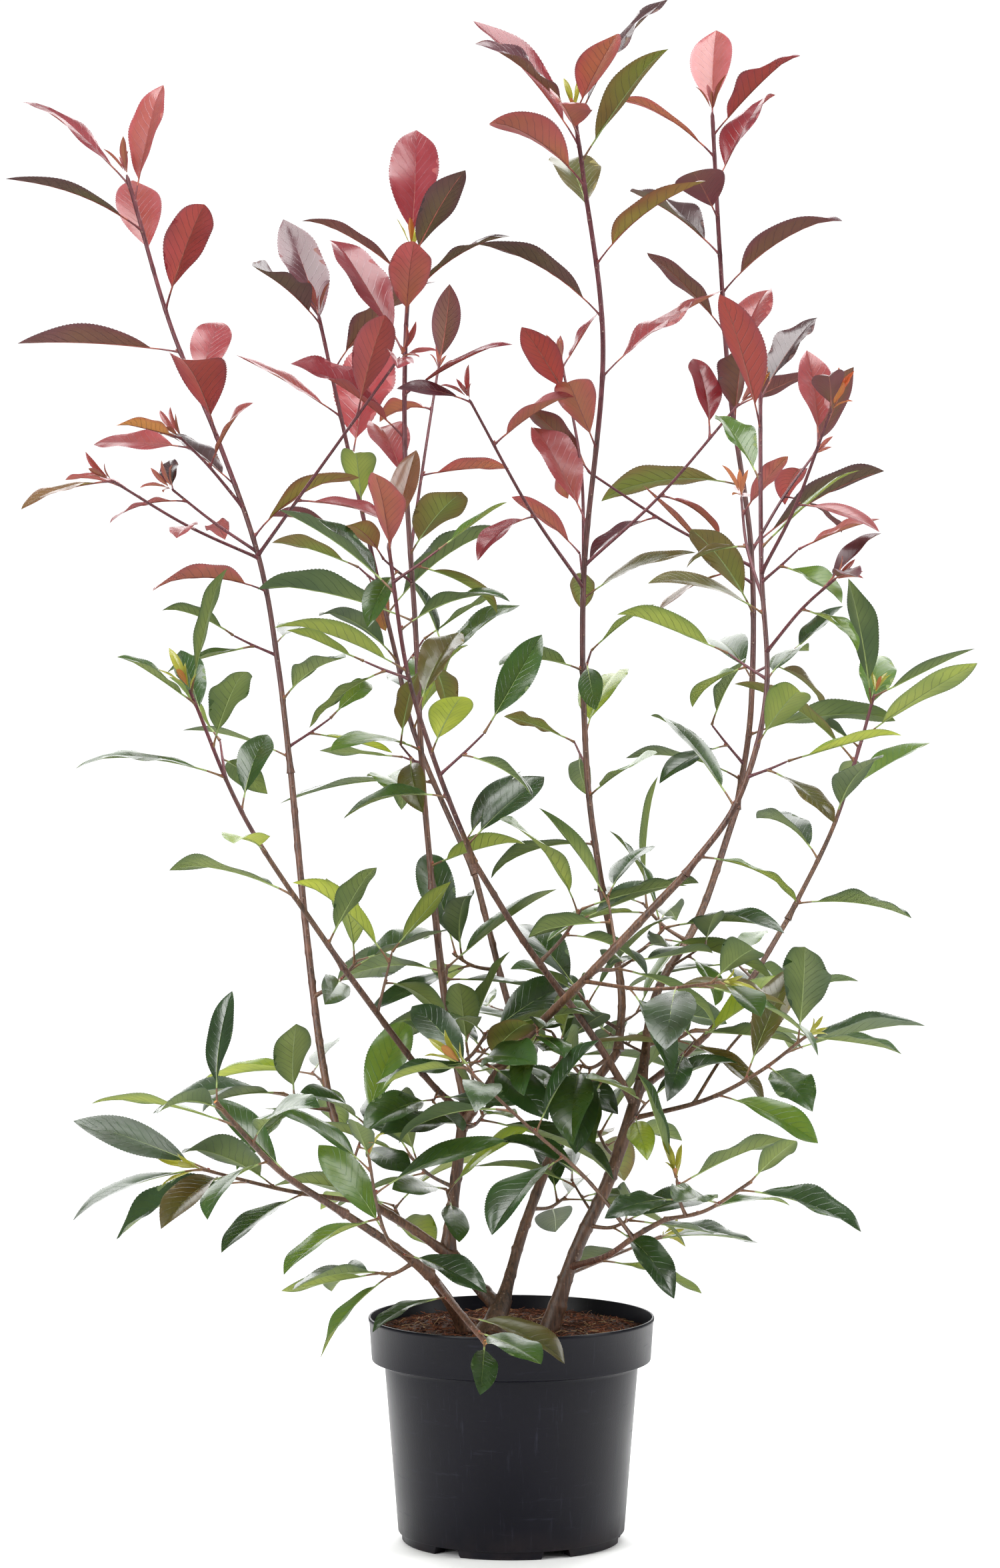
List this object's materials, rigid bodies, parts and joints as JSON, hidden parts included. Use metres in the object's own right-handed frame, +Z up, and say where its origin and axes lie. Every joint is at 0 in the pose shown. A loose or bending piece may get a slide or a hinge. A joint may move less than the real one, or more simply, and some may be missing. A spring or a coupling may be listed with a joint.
{
  "type": "potted photinia shrub",
  "caption": "Evergreen shrub in a round nursery pot: forking stems, glossy toothed leaves, dark green below and red at the young shoot tips.",
  "frame": {"origin": "middle of the flat underside of the pot, where the plant stands", "axes": "+Z up along the height of the plant, -Y towards the front, +X to its right"},
  "size_m": [0.8975, 0.7411, 1.3967],
  "materials": {
    "pot_plastic": "satin black moulded plastic, lightly scuffed",
    "compost": "damp red-brown fibrous compost",
    "bark": "grey-brown bark with lenticels, red-brown on young stems",
    "green_leaf": "glossy dark green upper side, paler matt underside",
    "red_leaf": "glossy red to bronze young leaf, pinkish matt underside"
  },
  "bodies": {
    "root": {"back_left_leader": "red_leaf", "back_left_limb": "bark", "back_left_limb_spur_1": "green_leaf", "back_left_limb_spur_2": "green_leaf", "centre_bough": "bark", "centre_bough_spur_1": "green_leaf", "centre_bough_spur_2": "green_leaf", "centre_leader": "red_leaf", "centre_limb": "bark", "centre_limb_spur_1": "green_leaf", "centre_limb_spur_2": "green_leaf", "compost": "compost", "fore_left_bough": "bark", "fore_left_bough_spur_1": "green_leaf", "fore_left_shoot": "green_leaf", "front_left_leader": "green_leaf", "front_left_limb": "bark", "front_riser": "green_leaf", "front_spray": "green_leaf", "front_stub": "green_leaf", "front_trunk": "bark", "front_upright": "green_leaf", "left_leader": "red_leaf", "left_stem": "bark", "left_stem_spur_1": "green_leaf", "left_stem_spur_2": "green_leaf", "left_sweep": "bark", "low_back_shoot": "green_leaf", "low_front_limb": "bark", "low_front_shoot": "green_leaf", "low_left_bough": "bark", "low_left_bough_spur_1": "green_leaf", "low_left_shoot": "green_leaf", "low_right_shoot": "green_leaf", "middle_bough": "bark", "middle_bough_spur_1": "green_leaf", "middle_bough_spur_2": "green_leaf", "outer_leader": "green_leaf", "outer_limb": "bark", "pot": "pot_plastic", "purple_leader": "red_leaf", "purple_limb": "bark", "purple_limb_spur_1": "green_leaf", "purple_limb_spur_2": "green_leaf", "right_leader": "red_leaf", "right_limb": "bark", "right_limb_spur_1": "green_leaf", "right_limb_spur_2": "green_leaf", "right_trunk": "bark", "right_trunk_spur_1": "green_leaf", "right_trunk_spur_2": "green_leaf", "root_crown": "bark", "sweep_leader": "red_leaf", "sweep_limb": "bark", "sweep_limb_spur_1": "green_leaf", "sweep_limb_spur_2": "green_leaf", "tall_leader": "red_leaf", "tall_limb": "bark", "tall_limb_spur_1": "green_leaf", "tall_limb_spur_2": "green_leaf"}
  },
  "joints": []
}
